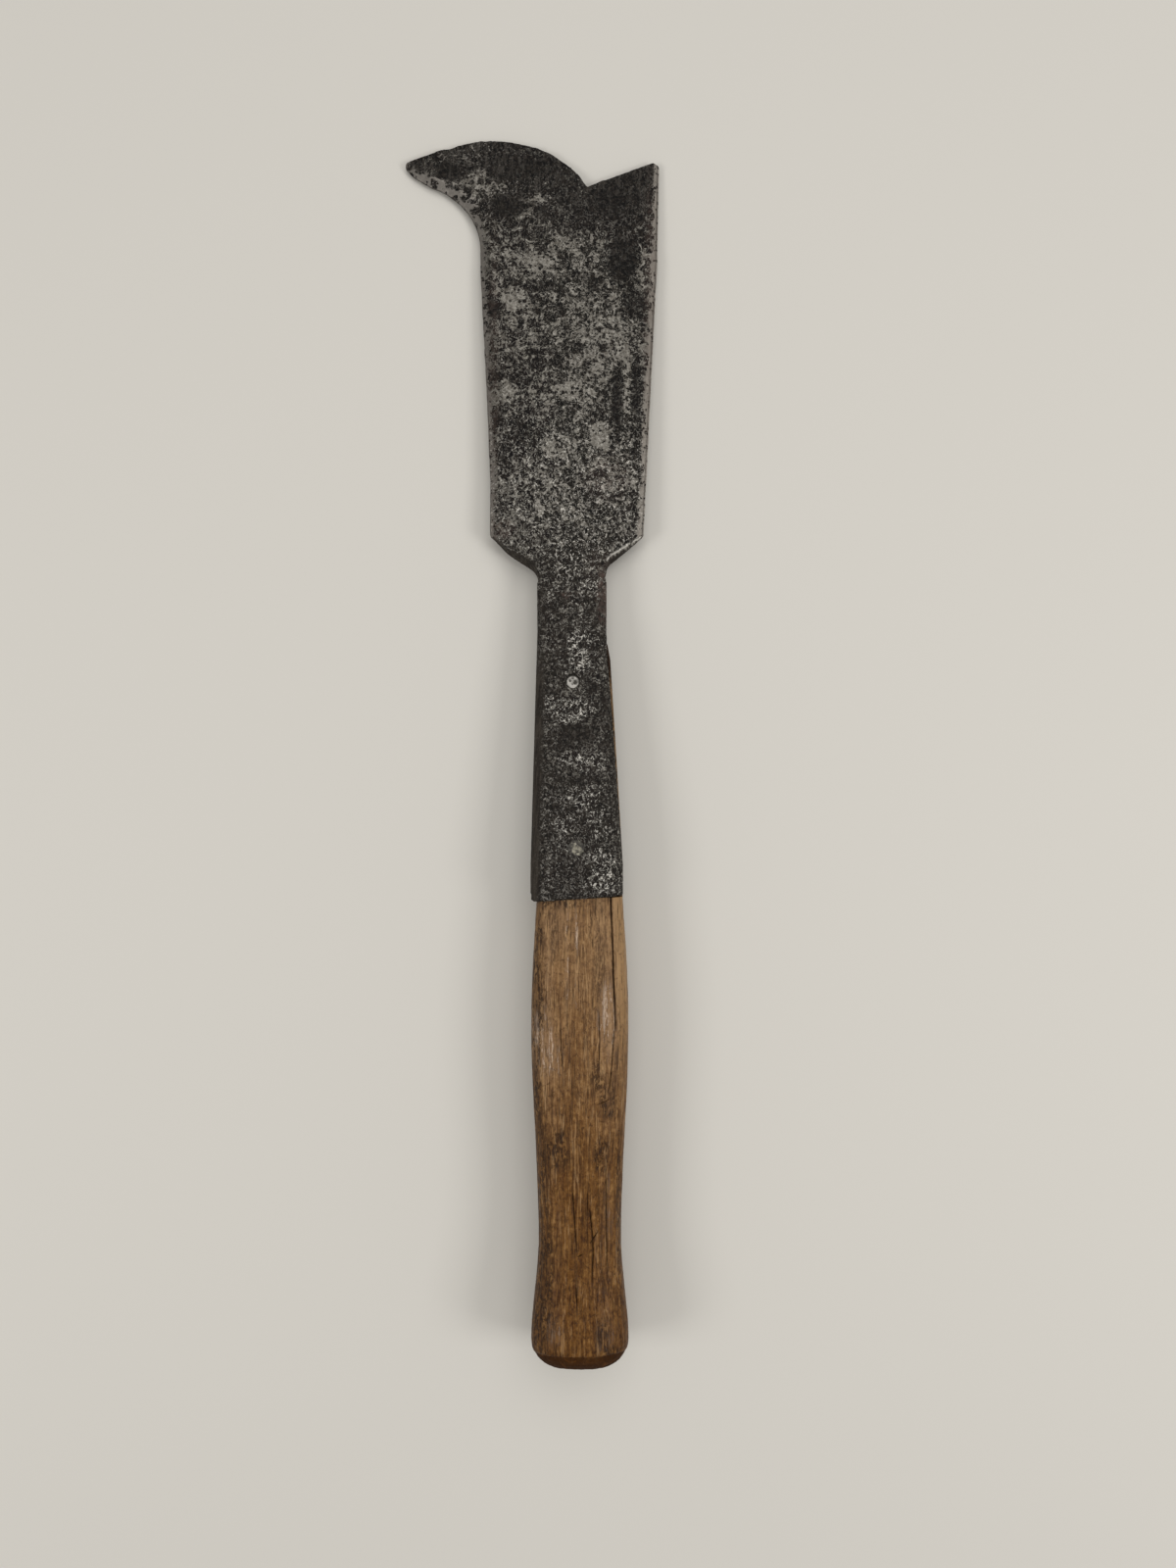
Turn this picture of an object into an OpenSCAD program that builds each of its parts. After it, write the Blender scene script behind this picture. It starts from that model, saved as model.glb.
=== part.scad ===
// Billhook. The blade, neck and folded socket are one forging, and two rivets hold it on a wooden handle.
// It is drawn along its handle: the butt at y = 0, the blade's top at the far end, the handle's axis at x = 0
// and z = 0, the front up. lay_down() then tips it on to the blade's end and the socket's mouth, as it rests.

/* [Handle] */
// Length of the handle that shows, from the butt to the mouth of the socket
handle_len = 194.8; // [150:0.1:400]
// Width of the swollen butt
butt_w = 41; // [36:0.5:50]
// Depth of the swollen butt, front to back
butt_depth = 34; // [32:0.5:40]
// Width of the flats left on the butt's front, back and sides
butt_flat = 6; // [0:0.5:12]
// Rounding of the butt's end
butt_round = 11; // [6:0.5:14]
// Width of the grip at its thinnest
grip_w = 34.8; // [30:0.2:44]
// Depth of the grip at its thinnest
grip_depth = 28.5; // [24:0.5:38]
// Width of the flats left on the grip
grip_flat = 4; // [0:0.5:12]
// Height of the thinnest place above the butt's end
grip_height = 51.5; // [35:0.5:80]
// Width of the belly, in front of the hand
belly_w = 41; // [34:0.5:50]
// Depth of the belly
belly_depth = 31.5; // [28:0.5:40]
// Width of the flats left on the belly
belly_flat = 12; // [0:0.5:18]
// Distance of the belly from the mouth of the socket
belly_from_mouth = 54; // [30:1:70]

/* [Socket] */
// Length from the mouth of the socket to the blade's shoulders
socket_len = 156; // [140:0.5:220]
// Width of the socket at its mouth
mouth_w = 39.2; // [34:0.2:46]
// Depth of the socket at its mouth
mouth_depth = 31; // [26:0.5:38]
// How far the mouth's centre lies to the left of the handle's axis
mouth_offset = 1.3; // [0:0.1:3]
// Corner radius of the socket at its mouth
mouth_corner = 8.5; // [6:0.5:12]
// Length at the mouth over which the width no longer grows
mouth_band = 14; // [8:1:30]
// Slant of the mouth's edge in degrees, higher on the right
mouth_slant = 3.5; // [0:0.5:6]
// Rounding of the mouth's outer edge
lip_round = 0.8; // [0.2:0.1:1.5]
// Width of the neck
neck_w = 29.7; // [26:0.1:34]
// Depth of the neck
neck_depth = 12.5; // [10:0.5:16]
// How far the neck's centre lies to the left of the handle's axis
neck_offset = 3.5; // [0:0.1:5]
// Corner radius of the neck where the fold begins
neck_corner = 4; // [2:0.5:5]
// Length of solid neck between the fillets of the blade's shoulders and the fold
neck_len = 22; // [15:0.5:36]
// Thickness of the folded wall
wall = 2.4; // [1.6:0.1:3]
// Width of the open seam at the mouth
seam_mouth_w = 6; // [3:0.5:9]
// Width of the open seam at its wide upper end
seam_top_w = 8.4; // [5:0.2:10]
// How far the seam's middle lies in front of the handle's axis
seam_forward = 1.6; // [0:0.1:2.4]
// Clearance between the wood and the steel all round
fit = 0.15; // [0.05:0.05:0.4]
// Length of the socket's narrow end that the wood doesn't reach
hollow_end = 5; // [4:1:20]
// Length of the seam's upper end that the wood leaves open
seam_open_end = 3; // [2:0.5:30]
// How far the wood that swells out of the seam stands proud of the steel
seam_wood_proud = 0.8; // [0:0.1:1.2]
// Length at its upper end over which that wood sinks level with the steel
seam_wood_fade = 7; // [5:0.5:20]

/* [Rivets] */
// Diameter of the rivets' shanks
shank_d = 5; // [3:0.1:6]
// Diameter of the neck rivet's filed ends
neck_rivet_d = 6.3; // [6.2:0.1:8]
// Diameter of the mouth rivet's filed ends
mouth_rivet_d = 7.2; // [6.2:0.1:9]
// Depth of the countersinks
sink_depth = 1.2; // [0.6:0.1:1.4]
// Clearance between a rivet and its hole
rivet_fit = 0.05; // [0.02:0.01:0.2]
// Distance of the neck rivet from the mouth of the socket
neck_rivet_from_mouth = 92; // [70:1:96]
// Distance of the mouth rivet from the mouth of the socket
mouth_rivet_from_mouth = 21.5; // [12:0.5:40]

/* [Blade] */
// Length of the blade from its shoulders' corners to the top of the hump
blade_len = 175.2; // [160:0.2:240]
// Width of the blade across its shoulders
shoulder_w = 66.7; // [58:0.1:80]
// How far the shoulders' centre lies to the left of the handle's axis
blade_offset = 5.75; // [0:0.05:8]
// Height of the sloping shoulders
shoulder_drop = 11.8; // [8:0.2:18]
// Lean of the shoulders' faces in degrees, lower at the back than at the front
shoulder_lean = 16; // [0:1:25]
// Rounding of the shoulders' outer corners
shoulder_corner_r = 1.5; // [0.5:0.1:4]
// Radius of the fillets between the shoulders and the neck
shoulder_fillet = 6; // [3:0.5:8]
// Straight length of the left edge above the shoulder, before it spreads
left_straight = 47; // [20:1:80]
// How far the left edge spreads on its way to the beak
left_flare = 5; // [0:0.2:12]
// Length of the right edge over which it spreads
right_flare_len = 122; // [90:1:135]
// How far the right edge spreads on its way to the horn
right_flare = 6.3; // [0.5:0.1:12]
// How far the last stretch of the right edge leans out to the horn
horn_lean = 0.8; // [0:0.1:1.6]
// Radius of the concave edge under the beak
beak_hollow_r = 31; // [24:0.5:34]
// Depth of the corner under the beak below the blade's top
beak_root_drop = 32.7; // [30:0.1:38]
// Reach of the beak's point beyond the left edge
beak_reach = 34.6; // [30:0.1:42]
// Depth of the beak's point below the blade's top
beak_point_drop = 11.5; // [9:0.1:15]
// Radius of the blunt point of the beak
beak_point_r = 1.5; // [0.5:0.1:2]
// Radius of the hump behind the beak
hump_r = 50; // [46:0.5:54]
// Distance of the hump's top to the left of the handle's axis
hump_offset = 39; // [36:0.5:42]
// Slope of the hump's back where it drops into the notch, in degrees
hump_slope = 45; // [42:1:48]
// Distance of the notch to the right of the handle's axis
notch_offset = 2.7; // [0:0.1:6]
// Depth of the notch below the blade's top
notch_drop = 20.6; // [18:0.1:24]
// Radius at the bottom of the notch
notch_r = 0.8; // [0.3:0.1:1.5]
// Depth of the horn's corner below the blade's top
horn_drop = 8.8; // [5:0.1:12]
// Radius of the horn's corner
horn_r = 2.5; // [0.5:0.1:4]
// Thickness the blade would have at the neck without the neck's swelling
root_t = 6; // [4:0.2:8]
// Thickness of the blade at its top
tip_t = 3; // [2:0.1:4]
// Length over which the neck's thickness dies out into the blade
swell_len = 38; // [20:1:60]
// Slope of the forged taper toward the long edges, in degrees
forged_taper = 11; // [8:0.5:14]
// Thickness of the forged taper where it would reach the edge
forged_edge_t = 2; // [1.4:0.1:2.6]
// Slope of the ground bevel, in degrees
ground_bevel = 19; // [15:0.5:25]
// Thickness left at the ground edge
edge_t = 0.8; // [0.4:0.1:1.2]

/* [Hidden] */

steel = "#5b5854";
rivet_steel = "#8d8983";
ash = "#8a6339";

// Steps of a quarter turn in a lofted section, of the butt's rounding, of the handle and of the neck's swelling
corner_steps = 8;
butt_steps = 7;
handle_steps = 24;
swell_steps = 8;
// Degrees per step of an outline's arc
arc_step = 4;
$fn = 64;

// How far cutters pass through what they cut, and how deep a hidden end lies inside what it joins
past = 1;
lap = 0.5;

// Places along the handle's axis
mouth_y = handle_len;
shoulder_y = mouth_y + socket_len;
neck_y = shoulder_y - shoulder_drop - shoulder_fillet - (neck_depth / 2 + past) * tan(shoulder_lean);
fold_y = neck_y - neck_len;
cavity_end = fold_y - wall;
top_y = shoulder_y + blade_len;
grip_y = grip_height;
belly_y = mouth_y - belly_from_mouth;

// Sides of the socket, the neck and the blade
mouth_left = -mouth_w / 2 - mouth_offset;
mouth_right = mouth_w / 2 - mouth_offset;
neck_left = -neck_w / 2 - neck_offset;
neck_right = neck_w / 2 - neck_offset;
shoulder_left = -shoulder_w / 2 - blade_offset;
shoulder_right = shoulder_w / 2 - blade_offset;

// The mouth's slant as a rise per unit of x, and a height that is clear below its lowest point
rise = tan(mouth_slant);
below_mouth = mouth_y + rise * mouth_left - past;

function mix(a, b, t) = a + (b - a) * t;
function ease(t) = t * t * (3 - 2 * t);
function unit(v) = v / norm(v);
function direction(v) = atan2(v.y, v.x);
function turn(a, p, b) = (p.x - a.x) * (b.y - p.y) - (p.y - a.y) * (b.x - p.x) > 0 ? 1 : -1;

// Arc points from one angle to another
function arc(centre, r, from, to) =
    let (steps = ceil(abs(to - from) / arc_step))
    [for (i = [0:steps]) centre + r * [cos(mix(from, to, i / steps)), sin(mix(from, to, i / steps))]];

// Centre of the arc of radius r that rounds the corner p between its neighbours a and b
function round_centre(a, p, b, r) =
    let (u = unit(a - p), v = unit(b - p), half = acos(u * v) / 2)
    p + unit(u + v) * r / sin(half);

// Distance from the corner p to the ends of that arc
function round_reach(a, p, b, r) = r / tan(acos(unit(a - p) * unit(b - p)) / 2);

// The corner p rounded with radius r
function rounded(a, p, b, r) =
    let (
        centre = round_centre(a, p, b, r),
        start = direction(p + unit(a - p) * round_reach(a, p, b, r) - centre),
        opening = acos(unit(a - p) * unit(b - p))
    )
    arc(centre, r, start, start + turn(a, p, b) * (180 - opening));

// A solid through rings of points that follow each other
module loft(rings) {
    n = len(rings[0]);
    last = (len(rings) - 1) * n;
    polyhedron(
        points = [for (r = rings) for (p = r) p],
        faces = concat(
            [[for (i = [n - 1:-1:0]) i]],
            [for (k = [0:n:last - n]) for (i = [0:n - 1])
                let (j = (i + 1) % n) for (f = [[k + i, k + j, k + n + j], [k + i, k + n + j, k + n + i]]) f],
            [[for (i = [0:n - 1]) last + i]]
        )
    );
}

// Corners of the blade's outline, from the right shoulder up, over the top and down the left side
right_shoulder = [shoulder_right, shoulder_y];
right_spread = [shoulder_right + right_flare, shoulder_y + right_flare_len];
horn = [right_spread.x + horn_lean, top_y - horn_drop];
notch = [notch_offset, top_y - notch_drop];
hump_centre = [-hump_offset, top_y - hump_r];
hump_end = hump_centre + hump_r * [cos(90 - hump_slope), sin(90 - hump_slope)];
left_shoulder = [shoulder_left, shoulder_y];
left_spread = [shoulder_left, shoulder_y + left_straight];
beak_root = [shoulder_left - left_flare, top_y - beak_root_drop];
beak_point = [beak_root.x - beak_reach, top_y - beak_point_drop];
left_neck = [neck_left, shoulder_y - shoulder_drop];
right_neck = [neck_right, shoulder_y - shoulder_drop];

// The beak's back leaves the hump along a tangent
to_point = beak_point - hump_centre;
beak_back_angle = direction(to_point) - acos(hump_r / norm(to_point));
beak_back = hump_centre + hump_r * [cos(beak_back_angle), sin(beak_back_angle)];

blade_outline = concat(
    rounded(right_neck, right_shoulder, right_spread, shoulder_corner_r),
    [right_spread],
    rounded(right_spread, horn, notch, horn_r),
    rounded(horn, notch, hump_end, notch_r),
    arc(hump_centre, hump_r, 90 - hump_slope, beak_back_angle),
    rounded(beak_back, beak_point, beak_root, beak_point_r),
    rounded(beak_point, beak_root, left_spread, beak_hollow_r),
    [left_spread],
    rounded(left_spread, left_shoulder, left_neck, shoulder_corner_r),
    rounded(left_shoulder, left_neck, [neck_left, neck_y], shoulder_fillet),
    [[neck_left, neck_y], [neck_right, neck_y]],
    rounded([neck_right, neck_y], right_neck, right_shoulder, shoulder_fillet)
);

// The outline as a thick plate, with the points of its shoulders set lower at the back than at the front
module leaning_plate() {
    half = neck_depth / 2 + past;
    loft([for (z = [half, -half]) [for (p = blade_outline)
        let (leans = p.y > neck_y && p.y < left_spread.y && p.y < right_spread.y)
        [p.x, p.y + (leans ? z * tan(shoulder_lean) : 0), z]]]);
}

// Half thickness of the plate at a height, without and with the neck's swelling
function thin_half(y) = mix(root_t, tip_t, (y - neck_y) / (top_y - neck_y)) / 2;
function plate_half(y) = mix(neck_depth / 2, thin_half(y), ease(min(1, (y - neck_y) / swell_len)));

// The plate seen from the side
module side_profile() {
    heights = concat([for (i = [0:swell_steps]) neck_y + swell_len * i / swell_steps], [top_y + past]);
    polygon(concat(
        [for (y = heights) [y, plate_half(y)]],
        [for (i = [len(heights) - 1:-1:0]) [heights[i], -plate_half(heights[i])]]
    ));
}

// The long edges as lines with the blade on their left, each run on past its ends: the right edge going up, and
// the beak's lower edge, the hollow under it and the left edge going down
edge_below = shoulder_y - neck_y + past;
right_edge = concat(
    [right_shoulder - unit(right_spread - right_shoulder) * edge_below],
    [right_spread],
    [horn + unit(horn - right_spread) * horn_drop]
);
left_edge = concat(
    [beak_point + unit(beak_point - beak_root) * beak_point_drop],
    rounded(beak_point, beak_root, left_spread, beak_hollow_r),
    [left_spread],
    [left_shoulder - [0, edge_below]]
);

// A vector square to the line at its point i, toward the blade, long enough that its ends make a parallel line
function inward(line, i) =
    let (
        before = max(i, 1),
        after = min(i, len(line) - 2) + 1,
        u = unit(line[before] - line[before - 1]),
        v = unit(line[after] - line[after - 1]),
        sum = [-u.y - v.y, u.x + v.x]
    )
    sum / (1 + u * v);

// Cuts the front and the back down to a slope that rises inward along a line
module taper_edge(line, edge_half, slope) {
    outside = 5;
    top = neck_depth / 2 + past;
    reach = (top - edge_half) / tan(slope);
    for (side = [0, 1])
        mirror([0, 0, side])
            loft([for (i = [0:len(line) - 1])
                let (p = line[i], n = inward(line, i), q = p - outside * n, r = p + reach * n)
                [[q.x, q.y, top], [r.x, r.y, top], [p.x, p.y, edge_half],
                    [q.x, q.y, edge_half - outside * tan(slope)]]]);
}

// The blade: its outline in plan, its thickness in side view, then the forged taper and the ground bevel
module blade() {
    difference() {
        intersection() {
            leaning_plate();
            translate([beak_point.x - past, 0, 0])
                rotate([90, 0, 90])
                    linear_extrude(horn.x - beak_point.x + 2 * past)
                        side_profile();
        }
        for (line = [right_edge, left_edge]) {
            taper_edge(line, forged_edge_t / 2, forged_taper);
            taper_edge(line, edge_t / 2, ground_bevel);
        }
    }
}

// A section of the socket or the handle: its left and right sides, half its depth, and the radii of its corners
// across and in depth
function section(s, grow = 0) =
    let (
        left = s[0] - grow,
        right = s[1] + grow,
        half = s[2] + grow,
        rx = min(s[3] + grow, (right - left) / 2),
        rz = min(s[4] + grow, half)
    )
    [for (q = [0:3]) for (i = [0:corner_steps])
        let (
            a = 90 * (q + i / corner_steps),
            x = q == 0 || q == 3 ? right - rx : left + rx,
            z = q < 2 ? half - rz : rz - half
        )
        [x + rx * cos(a), z + rz * sin(a)]];

// The section set at a height, with its plane slanted by a rise per unit of x
function ring(y, s, grow = 0, slant = 0) = [for (p = section(s, grow)) [p.x, y + slant * p.x, p.y]];

// The socket's outer section at a height. Its depth grows evenly, and its width only up to the mouth's band
function socket_section(y) =
    let (
        t = min(1, max(0, (fold_y - y) / (fold_y - mouth_y - mouth_band))),
        depth = mix(neck_depth, mouth_depth, (neck_y - y) / (neck_y - mouth_y)),
        corner = mix(neck_corner, mouth_corner, max(0, (fold_y - y) / (fold_y - mouth_y)))
    )
    [mix(neck_left, mouth_left, t), mix(neck_right, mouth_right, t), depth / 2, corner, corner];
socket_heights = [mouth_y + mouth_band, (mouth_y + mouth_band + fold_y) / 2, fold_y];

// The blade's own section at its foot, which the neck grows out of: flat in the middle, with the forged taper's
// slopes down to both sides. The neck stands proud of it by a hair, so that the two run into each other
foot_spread = (shoulder_y - neck_y) * right_flare / right_flare_len;
foot_edges = [shoulder_right - foot_spread, shoulder_left];
foot_sides = [neck_right, neck_left];
foot_flat = (neck_depth - forged_edge_t) / 2 / tan(forged_taper);
foot_middle = (neck_left + neck_right) / 2;
foot_seat = 0.1;
foot_inner = [max(foot_edges[0] - foot_flat, foot_middle + past), min(foot_edges[1] + foot_flat, foot_middle - past)];
foot_halves = [for (i = [0, 1])
    min(neck_depth / 2, forged_edge_t / 2 + abs(foot_sides[i] - foot_edges[i]) * tan(forged_taper))];
blade_foot = [for (q = [0:3]) for (i = [0:corner_steps])
    let (
        t = q % 2 == 0 ? i / corner_steps : 1 - i / corner_steps,
        side = q == 0 || q == 3 ? 0 : 1,
        out = side == 0 ? foot_seat : -foot_seat,
        z = mix(foot_halves[side], neck_depth / 2, t) + foot_seat
    )
    [mix(foot_sides[side] + out, foot_inner[side], t), neck_y, q < 2 ? z : -z]];

// A smaller section inside the blade, where the neck's solid ends
foot_root = [neck_left + lap, neck_right - lap, min(foot_halves) - lap, neck_corner / 2, neck_corner / 2];

// The outside of the socket and the neck, up to inside the blade
module socket_outside() {
    loft(concat(
        [ring(mouth_y, socket_section(mouth_y), -lip_round, rise)],
        [ring(mouth_y + lip_round, socket_section(mouth_y), 0, rise)],
        [for (y = socket_heights) ring(y, socket_section(y))],
        [blade_foot, ring(neck_y + shoulder_fillet / 2, foot_root)]
    ));
}

// The fold's hollow, from below the mouth up, or the wood in it, shrunk by its clearance
module socket_cavity(to, clear = 0) {
    heights = concat([below_mouth], [for (y = socket_heights) if (y < to) y], [to]);
    loft([for (y = heights) ring(y, socket_section(y), -wall - clear)]);
}

// The open seam on the right: a slot seen from the side, wide and round at the top and closing toward the mouth
module seam(to, clear = 0) {
    nose = seam_top_w / 2 - clear;
    foot = seam_mouth_w / 2 - clear;
    translate([0, 0, seam_forward])
        rotate([90, 0, 90])
            linear_extrude(mouth_right + 2 * past)
                polygon(concat(
                    [[below_mouth, -foot]],
                    arc([to - nose, 0], nose, -90, 90),
                    [[below_mouth, foot]]
                ));
}

// The wood that swells out of the seam, more and more toward its upper end, where it sinks level with the steel
module seam_wood() {
    to = cavity_end - seam_open_end;
    proudest = to - seam_wood_fade;
    band_y = mouth_y + mouth_band;
    band_proud = mix(-fit, seam_wood_proud, mouth_band / (proudest - mouth_y));
    intersection() {
        seam(to, fit);
        loft([for (s = [[below_mouth, -fit], [band_y, band_proud], [proudest, seam_wood_proud], [to, 0]])
            ring(s[0], socket_section(s[0]), s[1])]);
    }
}

// A rivet's line: through the middle of the socket at a height
function rivet_x(y) = (socket_section(y)[0] + socket_section(y)[1]) / 2;
function rivet_half(y) = socket_section(y)[2];

// A shank that widens into a countersunk end front and back, longer than the socket is deep
module rivet_shape(y, end_d, grow = 0) {
    shank_r = shank_d / 2 + grow;
    end_r = end_d / 2 + grow + past * (end_d - shank_d) / 2 / sink_depth;
    sink = rivet_half(y) - sink_depth;
    end = rivet_half(y) + past;
    translate([rivet_x(y), y, 0])
        rotate_extrude()
            polygon([[0, -end], [end_r, -end], [shank_r, -sink], [shank_r, sink], [end_r, end], [0, end]]);
}

neck_rivet_y = mouth_y + neck_rivet_from_mouth;
mouth_rivet_y = mouth_y + mouth_rivet_from_mouth;

module forged_head() {
    color(steel)
        lay_down()
            difference() {
                union() {
                    blade();
                    socket_outside();
                }
                socket_cavity(cavity_end);
                seam(cavity_end);
                rivet_shape(neck_rivet_y, neck_rivet_d, rivet_fit);
                rivet_shape(mouth_rivet_y, mouth_rivet_d, rivet_fit);
            }
}

// Sections of the handle: butt, grip, belly, and the throat just below the socket, which sits inside the left wall
// and runs out flush with the right one
function oval(w, depth, flat) = [-w / 2, w / 2, depth / 2, (w - flat) / 2, (depth - flat) / 2];
butt = oval(butt_w, butt_depth, butt_flat);
grip = oval(grip_w, grip_depth, grip_flat);
belly = oval(belly_w, belly_depth, belly_flat);
throat = [mouth_left + wall + fit, mouth_right - fit, mouth_depth / 2 - wall - fit, mouth_corner - wall,
    mouth_corner - wall];

function handle_section(y) =
    y < grip_y ? mix(butt, grip, ease((y - butt_round) / (grip_y - butt_round))) :
    y < belly_y ? mix(grip, belly, ease((y - grip_y) / (belly_y - grip_y))) :
    mix(belly, throat, 1 - cos(90 * (y - belly_y) / (mouth_y - belly_y)));

// The part of the handle that shows, from the rounded butt to the mouth's slanted edge
module handle_outside() {
    throat_y = mouth_y - fit;
    loft(concat(
        [for (i = [0:butt_steps - 1]) let (a = 90 * i / butt_steps)
            ring(butt_round * (1 - cos(a)), butt, -butt_round * (1 - sin(a)))],
        [for (i = [0:handle_steps - 1]) let (y = mix(butt_round, throat_y, i / handle_steps))
            ring(y, handle_section(y))],
        [ring(throat_y, handle_section(throat_y), 0, rise)]
    ));
}

module rivet_hole(y) {
    translate([rivet_x(y), y, 0])
        cylinder(d = shank_d + 2 * rivet_fit, h = 2 * (rivet_half(y) + past), center = true);
}

module handle() {
    color(ash)
        lay_down()
            difference() {
                union() {
                    handle_outside();
                    socket_cavity(cavity_end - hollow_end, fit);
                    seam_wood();
                }
                rivet_hole(neck_rivet_y);
                rivet_hole(mouth_rivet_y);
            }
}

module rivet(y, end_d) {
    color(rivet_steel)
        lay_down()
            intersection() {
                rivet_shape(y, end_d);
                socket_outside();
            }
}

module neck_rivet() {
    rivet(neck_rivet_y, neck_rivet_d);
}

module mouth_rivet() {
    rivet(mouth_rivet_y, mouth_rivet_d);
}

// Rest on a bench: the back of the socket's mouth and the back of the blade's top both touch z = 0
lip_y = mouth_y + lip_round;
tilt = atan((mouth_depth - tip_t) / 2 / (top_y - lip_y));
rest_z = lip_y * sin(tilt) + mouth_depth / 2 * cos(tilt);
rest_left = round_centre(beak_back, beak_point, beak_root, beak_point_r).x - beak_point_r;
rest_x = -(rest_left + horn.x) / 2;
rest_low = butt_round * cos(tilt) - (butt_depth / 2 - butt_round) * sin(tilt) - butt_round;
rest_high = top_y * cos(tilt) + tip_t / 2 * sin(tilt);
rest_y = -(rest_low + rest_high) / 2;

module lay_down() {
    translate([rest_x, rest_y, rest_z])
        rotate([-tilt, 0, 0])
            children();
}

forged_head();
handle();
neck_rivet();
mouth_rivet();
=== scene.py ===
import math

import bmesh
import bpy
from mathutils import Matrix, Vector, noise
from mathutils.bvhtree import BVHTree


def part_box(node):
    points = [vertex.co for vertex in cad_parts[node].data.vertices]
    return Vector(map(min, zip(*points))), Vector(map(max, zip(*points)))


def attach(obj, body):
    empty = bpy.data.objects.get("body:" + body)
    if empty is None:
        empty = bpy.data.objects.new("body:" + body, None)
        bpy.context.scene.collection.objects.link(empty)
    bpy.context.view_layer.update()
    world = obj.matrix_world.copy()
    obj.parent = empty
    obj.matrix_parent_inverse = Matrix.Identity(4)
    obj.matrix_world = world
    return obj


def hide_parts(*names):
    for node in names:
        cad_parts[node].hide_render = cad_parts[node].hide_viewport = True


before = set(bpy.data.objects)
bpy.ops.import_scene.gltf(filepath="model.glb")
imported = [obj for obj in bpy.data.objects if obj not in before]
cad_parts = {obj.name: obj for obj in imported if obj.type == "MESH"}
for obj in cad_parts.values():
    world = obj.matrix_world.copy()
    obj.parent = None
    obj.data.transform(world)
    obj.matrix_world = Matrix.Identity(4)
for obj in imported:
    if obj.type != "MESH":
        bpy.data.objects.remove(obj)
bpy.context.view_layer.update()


# The head is one forging of tool steel: the blade, its neck, and a socket that is the same bar spread and folded
# round the wood. Black forge scale and rust pits cover it, and the long edges were ground bright and worn in use.

WELD = 1e-6
FLAT_ANGLE = math.radians(0.2)
HEAD_GRID = 0.00095
SIDE_GRID = 0.0012
NECK_TOP = 0.0667
SHOULDERS_Y = 0.0872
RIM_FAR = 6.0
# where the forging was drawn out past the plain outline: the box of the rim that moves, the way it moves, and how far
# round it the metal follows, in metres
DRAWN_OUT = (
    ((0.002, 0.2355), (0.0160, 0.258), (0.0021, 0.0002), 0.015),
    ((-0.025, 0.133), (-0.014, 0.203), (-0.0009, 0), 0.024),
    ((-0.054, 0.2425), (-0.041, 0.2585), (0, 0.0009), 0.006),
    ((-0.055, 0.2385), (-0.045, 0.2475), (0, -0.0011), 0.006),
    ((-0.009, 0.0725), (0.0035, 0.0835), (0, -0.0023), 0.010),
)

# how much scale is left, from the mouth of the socket to the blade's top, at heights in millimetres
SCALE_ALONG = ((-69, 0.87), (41, 0.80), (71, 0.70), (93, 0.55), (131, 0.61), (179, 0.575), (213, 0.57), (228, 0.68),
               (241, 0.84), (265, 0.92))
# where it is thicker or rubbed off: centre, reach across, reach along, amount
SCALE_PATCHES = (
    (39.5, 209.7, 6, 9.5, 0.75), (45, 189.7, 5.5, 7, 0.50), (43, 236.7, 12, 18, 0.18), (24, 231.7, 16, 12, 0.24),
    (-37.5, 248.7, 4.5, 4.5, 0.50), (-8, 250.7, 22, 6, 0.25), (-11.5, 232.9, 7, 5.5, 0.50), (4.5, 230.6, 3.5, 3.5, 0.30),
    (2, 218.2, 9, 6, 0.22), (8.0, 198.2, 8, 3, 0.26), (-16.8, 188.9, 3.4, 4.6, 0.80), (-15.5, 155.7, 3, 4, 0.40),
    (-14.5, 140.7, 3, 6, 0.36), (-4.5, 131.7, 5, 9, 0.26), (-12, 121.7, 3.5, 7, 0.30), (37.4, 150.7, 2.4, 10, 0.42),
    (45.5, 152.7, 2.2, 16, 0.45), (37, 138.7, 3, 9, 0.28), (46, 126.7, 2.5, 8, 0.28), (20, 1.7, 7, 4, 0.40),
    (20, 211, 9, 7, 0.10), (5, 165, 9, 6, 0.20), (-6, 158, 6, 5, 0.22), (20, 172, 6, 5, 0.15),
    (-42.6, 242.5, 0.9, 0.9, 1.8), (-36.0, 242.3, 1.0, 0.9, 1.8), (-32.6, 241.0, 1.1, 0.9, 1.6),
    (-29.8, 237.2, 1.9, 1.1, 1.7), (-26.2, 235.3, 1.2, 1.1, 1.5), (-24.9, 231.4, 1.8, 1.5, 1.7),
    (-35.1, 237.8, 1.0, 0.7, 1.2), (-27, 254.2, 13, 3.0, -0.14), (-6, 256.6, 12, 2.2, -0.16),
    (-23.5, 246, 5, 4, -0.46), (-43, 246, 9, 5, -0.10), (-30, 242, 7, 4, -0.20), (-16, 241.5, 5, 3.5, -0.28),
    (4.5, 236.4, 6, 2.4, -0.26), (14.5, 216.7, 4.5, 4, -0.30), (3, 208.7, 7, 4, -0.25), (-11, 191.7, 8, 5, -0.36),
    (-13, 150.7, 4, 6, -0.42), (16, 150.7, 4, 4, -0.32), (30, 128.5, 4, 4.5, -0.42), (28, 134.7, 4, 4, -0.24),
    (-6.6, 123.5, 1.5, 5, -0.35), (11.5, 127.7, 7, 6, -0.20), (40, 167.7, 4, 4, -0.28), (41.8, 159, 1.3, 6, -0.32), (40.4, 147, 1.4, 5, -0.34),
    (26, 158, 7, 9, -0.14), (36, -54.3, 5, 10, -0.16), (19, 14.7, 5, 8, -0.14),
)
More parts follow.
